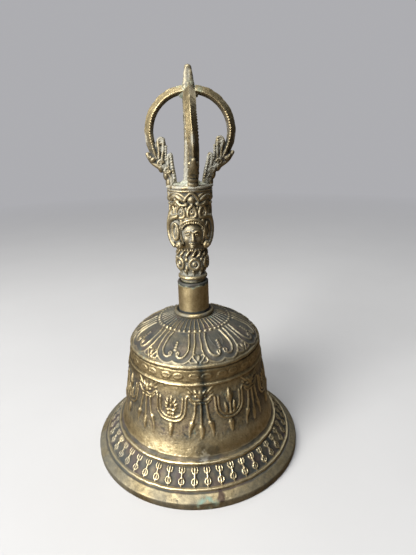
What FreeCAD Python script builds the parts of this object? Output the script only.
import FreeCAD, Part

import math
import os

from FreeCAD import Vector

# A cast ritual hand bell (a ghanta) with a half-vajra handle, in millimetres.
#
# The frame: +Z runs up the bell's axis, the mouth rests on the plane z = 0 at the origin, and the face on the
# handle looks along -Y. The bell, its neck and its handle are clamped together by one bolt through the crown.
# The bolt's lower end is a stirrup, a link hangs on the stirrup's bar, and the clapper hangs on the link.

# ---- driving dimensions -------------------------------------------------------------------------------------
MOUTH_RADIUS = 49.0
RIM_WIDTH = 3.6
LIP_EDGE = (48.6, 3.0)
LOWER_LINE = (44.5, 6.0)
UPPER_LINE = (38.0, 13.4)
WAIST_TOP = (31.0, 46.0)
SHOULDER = (30.3, 53.6)
CROWN_FLAT_RADIUS = 9.2
CROWN_HEIGHT = 66.5
CROWN_INSIDE = 62.6
OVERALL_HEIGHT = 169.5

BOLT_RADIUS = 3.0
SLIP = 0.02
SLEEVE_RADIUS = 6.9
SLEEVE_BORE = 5.4
SLEEVE_TOP = 82.0
HEAD_TOP = 124.4
SPIKE_HALF_WIDTH = 2.3
SPIKE_TANG_RADIUS = 2.0
SPIKE_TANG_BOTTOM = 117.0

ARCH_CENTRE = (0.8, 144.6)
ARCH_RADIUS = 15.7
ARCH_START = -22.0
ARCH_END = 96.0
BAR_WIDTH = 4.8
BAR_BACK = 1.8
BAR_BELLY = 1.6
PRONG_THICKNESS = 4.6

STIRRUP_BAR_Z = 50.5
STIRRUP_HEIGHT = 6.1
STIRRUP_HALF_WIDTH = 3.9
STIRRUP_WIRE = 1.3
LINK_BAR_Z = 44.6
LINK_HALF_WIDTH = 3.1
LINK_WIRE = 1.0
CONTACT_GAP = 0.05
BOB_CENTRE_Z = 12.0
BOB_RADIUS = 8.0
BOB_LENGTH = 19.5

Z_AXIS = Vector(0, 0, 1)
ORIGIN = Vector(0, 0, 0)


# ---- drawing helpers ----------------------------------------------------------------------------------------
def at(point):
    """A point of the XZ half-plane, given as (radius, height)."""
    return Vector(point[0], 0, point[1])


def outline(start, *steps):
    """A closed wire in the XZ plane. Each step is one of
    (radius, height)      a straight line to that point,
    (middle, end)         an arc through middle to end,
    [point, point, ...]   a smooth curve through the points."""
    edges = []
    here = start
    for step in steps:
        if isinstance(step, list):
            curve = Part.BSplineCurve()
            curve.interpolate([at(here)] + [at(p) for p in step])
            edges.append(curve.toShape())
            here = step[-1]
        elif isinstance(step[0], tuple):
            middle, end = step
            edges.append(Part.Arc(at(here), at(middle), at(end)).toShape())
            here = end
        else:
            edges.append(Part.LineSegment(at(here), at(step)).toShape())
            here = step
    if math.dist(here, start) > 1e-9:
        edges.append(Part.LineSegment(at(here), at(start)).toShape())
    return Part.Wire(edges)


def turned(start, *steps):
    """The solid swept by an outline once round the Z axis."""
    return Part.Face(outline(start, *steps)).revolve(ORIGIN, Z_AXIS, 360)


def tube(inner, outer, bottom, top):
    ring = Part.makeCylinder(outer, top - bottom, Vector(0, 0, bottom))
    return ring.cut(Part.makeCylinder(inner, top - bottom, Vector(0, 0, bottom)))


def wire_loop(half_width, bottom, top, corner, wire_radius):
    """A rounded rectangle of round wire in the XZ plane, with straight bars at its top and bottom."""
    side = half_width - corner
    low, high = bottom + corner, top - corner
    diagonal = corner * math.sqrt(0.5)
    path = outline(
        (0, bottom),
        (side, bottom),
        ((side + diagonal, low - diagonal), (half_width, low)),
        (half_width, high),
        ((side + diagonal, high + diagonal), (side, top)),
        (-side, top),
        ((-side - diagonal, high + diagonal), (-half_width, high)),
        (-half_width, low),
        ((-side - diagonal, low - diagonal), (-side, bottom)),
    )
    section = Part.Wire(Part.makeCircle(wire_radius, Vector(0, 0, bottom), Vector(1, 0, 0)))
    return path.makePipeShell([section], True, True)


def about_z(shape, degrees):
    return shape.rotated(ORIGIN, Z_AXIS, degrees)


# ---- the bell -----------------------------------------------------------------------------------------------
def raised_line(centre, height=0.45, half_width=0.8):
    """A half-round line cast round the flare, as outline steps: where it starts, then its arc."""
    run, rise = UPPER_LINE[0] - LOWER_LINE[0], UPPER_LINE[1] - LOWER_LINE[1]
    length = math.hypot(run, rise)
    along = (run / length, rise / length)
    start = (centre[0] - along[0] * half_width, centre[1] - along[1] * half_width)
    crest = (centre[0] + along[1] * height, centre[1] - along[0] * height)
    end = (centre[0] + along[0] * half_width, centre[1] + along[1] * half_width)
    return [start, (crest, end)]


def bell_shell():
    """The cast bell: a flat rim, a flared lip with two raised lines, a waist, a shoulder band and a domed crown."""
    shoulder_r, shoulder_z = SHOULDER
    waist_r, waist_z = WAIST_TOP
    inside_rim = MOUTH_RADIUS - RIM_WIDTH
    return turned(
        (inside_rim, 0),
        (MOUTH_RADIUS - 0.4, 0),
        ((MOUTH_RADIUS - 0.1, 0.1), (MOUTH_RADIUS, 0.4)),
        (MOUTH_RADIUS, LIP_EDGE[1] - 0.6),
        ((MOUTH_RADIUS - 0.1, LIP_EDGE[1] - 0.15), LIP_EDGE),
        *raised_line(LOWER_LINE),
        *raised_line(UPPER_LINE, 0.6),
        [(36.4, 16.4), (34.7, 22.0), (33.3, 30.0), (32.0, 38.0), WAIST_TOP],
        ((waist_r + 0.35, waist_z + 0.5), (waist_r - 0.1, waist_z + 1.0)),
        (shoulder_r - 0.2, shoulder_z - 0.7),
        ((shoulder_r + 0.35, shoulder_z - 0.2), (shoulder_r + 0.2, shoulder_z + 0.5)),
        [(28.3, 57.0), (24.0, 60.0), (16.0, 63.9), (CROWN_FLAT_RADIUS, CROWN_HEIGHT)],
        (BOLT_RADIUS + SLIP, CROWN_HEIGHT),
        (BOLT_RADIUS + SLIP, CROWN_INSIDE),
        (8.4, CROWN_INSIDE),
        [(16.5, 61.1), (23.6, 57.8), (27.6, 52.0), (28.9, 46.0), (30.2, 37.0), (31.6, 27.0), (33.4, 18.5), (36.4, 11.6)],
        [(41.2, 5.4), (inside_rim, 0)],
    )


def crown_ring():
    """The half-round collar on the crown that the neck sleeve stands in."""
    bore = SLEEVE_RADIUS + SLIP
    return turned(
        (bore, CROWN_HEIGHT),
        (CROWN_FLAT_RADIUS - 0.5, CROWN_HEIGHT),
        ((CROWN_FLAT_RADIUS - 0.1, CROWN_HEIGHT + 0.9), (CROWN_FLAT_RADIUS - 0.8, CROWN_HEIGHT + 1.8)),
        (bore, CROWN_HEIGHT + 1.8),
    )


# ---- the neck and what clamps it ----------------------------------------------------------------------------
SPIGOT_BOTTOM = 78.0
BOLT_TOP = 96.5
WASHER_THICKNESS = 1.2
NUT_HEIGHT = 3.2
NUT_ACROSS_FLATS = 9.6


def neck_sleeve():
    return tube(SLEEVE_BORE, SLEEVE_RADIUS, CROWN_HEIGHT, SLEEVE_TOP)


def pitch_filling():
    """The resin poured round the bolt inside the sleeve."""
    return tube(BOLT_RADIUS + SLIP, SLEEVE_BORE - SLIP, CROWN_HEIGHT, SPIGOT_BOTTOM)


def clamp_washer():
    return tube(BOLT_RADIUS + 0.15, 7.6, CROWN_INSIDE - WASHER_THICKNESS, CROWN_INSIDE)


def clamp_nut():
    top = CROWN_INSIDE - WASHER_THICKNESS
    corner = NUT_ACROSS_FLATS / 2 / math.cos(math.pi / 6)
    turns = [math.radians(60 * i) for i in range(7)]
    ring = Part.makePolygon([Vector(corner * math.cos(t), corner * math.sin(t), top - NUT_HEIGHT) for t in turns])
    block = Part.Face(ring).extrude(Vector(0, 0, NUT_HEIGHT))
    return block.cut(Part.makeCylinder(BOLT_RADIUS + SLIP, NUT_HEIGHT, Vector(0, 0, top - NUT_HEIGHT)))


def tie_bolt():
    """The clamping bolt, with its lower end forged into a stirrup whose bar carries the link."""
    stirrup_top = STIRRUP_BAR_Z + STIRRUP_HEIGHT
    shank_bottom = stirrup_top - STIRRUP_WIRE * 0.7
    shank = Part.makeCylinder(BOLT_RADIUS, BOLT_TOP - shank_bottom, Vector(0, 0, shank_bottom))
    stirrup = wire_loop(STIRRUP_HALF_WIDTH, STIRRUP_BAR_Z, stirrup_top, 2.3, STIRRUP_WIRE)
    return shank.fuse(stirrup).removeSplitter()


# ---- the handle ---------------------------------------------------------------------------------------------
def handle_head():
    """The cast handle: a spigot and foot, a small vase, a crowned head and the flat seat of the prongs."""
    body = turned(
        (BOLT_RADIUS + SLIP, SPIGOT_BOTTOM),
        (SLEEVE_BORE - SLIP, SPIGOT_BOTTOM),
        (SLEEVE_BORE - SLIP, SLEEVE_TOP),
        (5.9, SLEEVE_TOP),
        (5.9, 82.6),
        ((6.6, 83.5), (6.1, 84.6)),
        ((5.1, 86.2), (6.3, 87.8)),
        ((7.6, 91.0), (6.3, 95.6)),
        [(6.6, 96.6), (8.6, 99.8), (10.0, 106.0), (9.3, 111.0), (8.2, 114.6), (8.9, 119.4), (9.6, 122.9)],
        ((9.75, 123.8), (9.2, HEAD_TOP)),
        (SPIKE_TANG_RADIUS + SLIP, HEAD_TOP),
        (SPIKE_TANG_RADIUS + SLIP, SPIKE_TANG_BOTTOM),
        (0, SPIKE_TANG_BOTTOM),
        (0, BOLT_TOP + 0.5),
        (BOLT_RADIUS + SLIP, BOLT_TOP + 0.5),
    )
    return body.fuse(head_relief())


def head_relief():
    """The raised masses of the head: the face in front, a hair roll at each side and the leaves of the crown."""
    face = egg(Vector(0, -6.4, 103.6), 4.9, 4.6, 6.6)
    rolls = [egg(Vector(side * 8.2, -1.5, 104.6), 2.6, 4.4, 6.4) for side in (-1, 1)]
    leaves = [about_z(egg(Vector(0, -8.6, 114.2), 2.2, 1.4, 3.6), 72 * i) for i in range(5)]
    return face.multiFuse(rolls + leaves)


def egg(centre, half_x, half_y, half_z):
    """An ellipsoid with the given half sizes."""
    stretch = FreeCAD.Matrix()
    stretch.scale(half_x, half_y, half_z)
    shape = Part.makeSphere(1.0).transformGeometry(stretch)
    return shape.translated(centre)


def centre_spike():
    """The four-sided spear through the middle of the half-vajra, on a round tang."""
    wide = SPIKE_HALF_WIDTH
    levels = [(HEAD_TOP, wide), (158.0, wide - 0.1), (162.0, wide), (168.6, 1.25), (OVERALL_HEIGHT, 0.7)]
    squares = []
    for height, half in levels:
        corners = [(-half, -half), (half, -half), (half, half), (-half, half), (-half, -half)]
        squares.append(Part.makePolygon([Vector(x, y, height) for x, y in corners]))
    spear = Part.makeLoft(squares, True, True)
    tang_length = HEAD_TOP - SPIKE_TANG_BOTTOM
    tang = Part.makeCylinder(SPIKE_TANG_RADIUS, tang_length, Vector(0, 0, SPIKE_TANG_BOTTOM))
    return spear.fuse(tang).removeSplitter()


def arch_point(angle, radius):
    return (ARCH_CENTRE[0] + radius * math.cos(angle), ARCH_CENTRE[1] + radius * math.sin(angle))


def arch_bar():
    """The upper part of a prong: a four-sided bar with a ridge along its back, swept over the arch to the spike."""
    half = BAR_WIDTH / 2
    section = [
        (ARCH_RADIUS - BAR_BELLY, 0),
        (ARCH_RADIUS, -half),
        (ARCH_RADIUS + BAR_BACK, 0),
        (ARCH_RADIUS, half),
    ]
    corners = [Vector(ARCH_CENTRE[0] + r, y, ARCH_CENTRE[1]) for r, y in section]
    centre = at(ARCH_CENTRE)
    face = Part.Face(Part.makePolygon(corners + corners[:1]))
    face = face.rotated(centre, Vector(0, -1, 0), ARCH_START)
    bar = face.revolve(centre, Vector(0, -1, 0), ARCH_END - ARCH_START)
    keep = Part.makeBox(30, 20, 60, Vector(BAR_WIDTH / 2 + CONTACT_GAP, -10, 120))
    return bar.common(keep)


def prong_leaf():
    """The lower part of a prong: the flame-shaped sea-beast head that the arch grows from, with its spur and curls."""
    blade = Part.Face(
        outline(
            (5.4, HEAD_TOP),
            [(6.2, 130.2), (7.1, 135.4)],
            ((8.3, 137.2), (9.4, 136.2)),
            [(9.9, 139.4), (10.2, 141.8)],
            ((11.5, 143.7), (12.9, 142.2)),
            (14.9, 139.0),
            (16.2, 137.0),
            ((17.2, 138.3), (17.4, 136.4)),
            [(14.6, 132.6), (11.8, 129.4), (9.2, HEAD_TOP)],
        )
    )
    half = PRONG_THICKNESS / 2
    return blade.extrude(Vector(0, PRONG_THICKNESS, 0)).translated(Vector(0, -half, 0))


def vajra_prong(degrees):
    return about_z(arch_bar().fuse(prong_leaf()).removeSplitter(), degrees)


PRONGS = {"right": 0, "rear": 90, "left": 180, "front": 270}


def root_solder():
    """The soft solder run round the roots of the prongs and the spike, on the head's flat top."""
    pool = turned((0, HEAD_TOP), (9.0, HEAD_TOP), ((6.0, HEAD_TOP + 0.75), (0, HEAD_TOP + 0.9)))
    return less_the_half_vajra(pool)


def tip_solder():
    """The solder collar that ties the four prong tips to the spike."""
    collar = turned((0, 157.4), ((3.4, 158.6), (4.3, 160.6)), ((3.8, 162.2), (0, 163.2)))
    return less_the_half_vajra(collar)


def less_the_half_vajra(shape):
    return shape.cut([vajra_prong(turn) for turn in PRONGS.values()] + [centre_spike()])


# ---- the clapper --------------------------------------------------------------------------------------------
def clapper_link():
    """The oblong wire link: it hangs over the stirrup's bar and carries the clapper's eye on its own lower bar."""
    top = STIRRUP_BAR_Z + STIRRUP_WIRE + LINK_WIRE + CONTACT_GAP
    return about_z(wire_loop(LINK_HALF_WIDTH, LINK_BAR_Z, top, 1.8, LINK_WIRE), 90)


EYE_HOLE_RADIUS = 1.7
EYE_THICKNESS = 2.0
EYE_RADIUS = 3.7
ROD_RADIUS = 1.6


def clapper_rod():
    """The clapper's shank: a flat eye drilled for the link, and a round rod down through the bob."""
    eye_z = LINK_BAR_Z + LINK_WIRE + CONTACT_GAP - EYE_HOLE_RADIUS
    flat = Vector(0, -EYE_THICKNESS / 2, eye_z)
    across = Vector(0, 1, 0)
    eye = Part.makeCylinder(EYE_RADIUS, EYE_THICKNESS, flat, across)
    rod_bottom = BOB_CENTRE_Z - BOB_RADIUS - 0.6
    rod = Part.makeCylinder(ROD_RADIUS, eye_z - 2.6 - rod_bottom, Vector(0, 0, rod_bottom))
    hole = Part.makeCylinder(EYE_HOLE_RADIUS, EYE_THICKNESS, flat, across)
    return eye.fuse(rod).cut(hole).removeSplitter()


def clapper_bob():
    """The striking bob: a long drop, threaded on the rod."""
    bottom = BOB_CENTRE_Z - BOB_RADIUS
    top = bottom + BOB_LENGTH
    bore = ROD_RADIUS + SLIP
    return turned(
        (bore, bottom),
        (2.6, bottom),
        ((BOB_RADIUS * 0.8, BOB_CENTRE_Z - BOB_RADIUS * 0.66), (BOB_RADIUS, BOB_CENTRE_Z)),
        [(6.6, 16.4), (3.7, 20.8), (2.6, top)],
        (bore, top),
    )


NODES = {
    "bell_shell": bell_shell,
    "crown_ring": crown_ring,
    "neck_sleeve": neck_sleeve,
    "pitch_filling": pitch_filling,
    "clamp_washer": clamp_washer,
    "clamp_nut": clamp_nut,
    "tie_bolt": tie_bolt,
    "handle_head": handle_head,
    "centre_spike": centre_spike,
    "root_solder": root_solder,
    "tip_solder": tip_solder,
    "clapper_link": clapper_link,
    "clapper_rod": clapper_rod,
    "clapper_bob": clapper_bob,
}
for side, turn in PRONGS.items():
    NODES["vajra_prong_" + side] = lambda turn=turn: vajra_prong(turn)

os.makedirs("parts", exist_ok=True)
for name, build in NODES.items():
    shape = build()
    if not shape.isValid() or not shape.Solids:
        raise ValueError(f"{name} is not a valid solid")
    shape.exportStep(f"parts/{name}.step")
    print(name, "solids", len(shape.Solids), "volume", round(shape.Volume, 1))
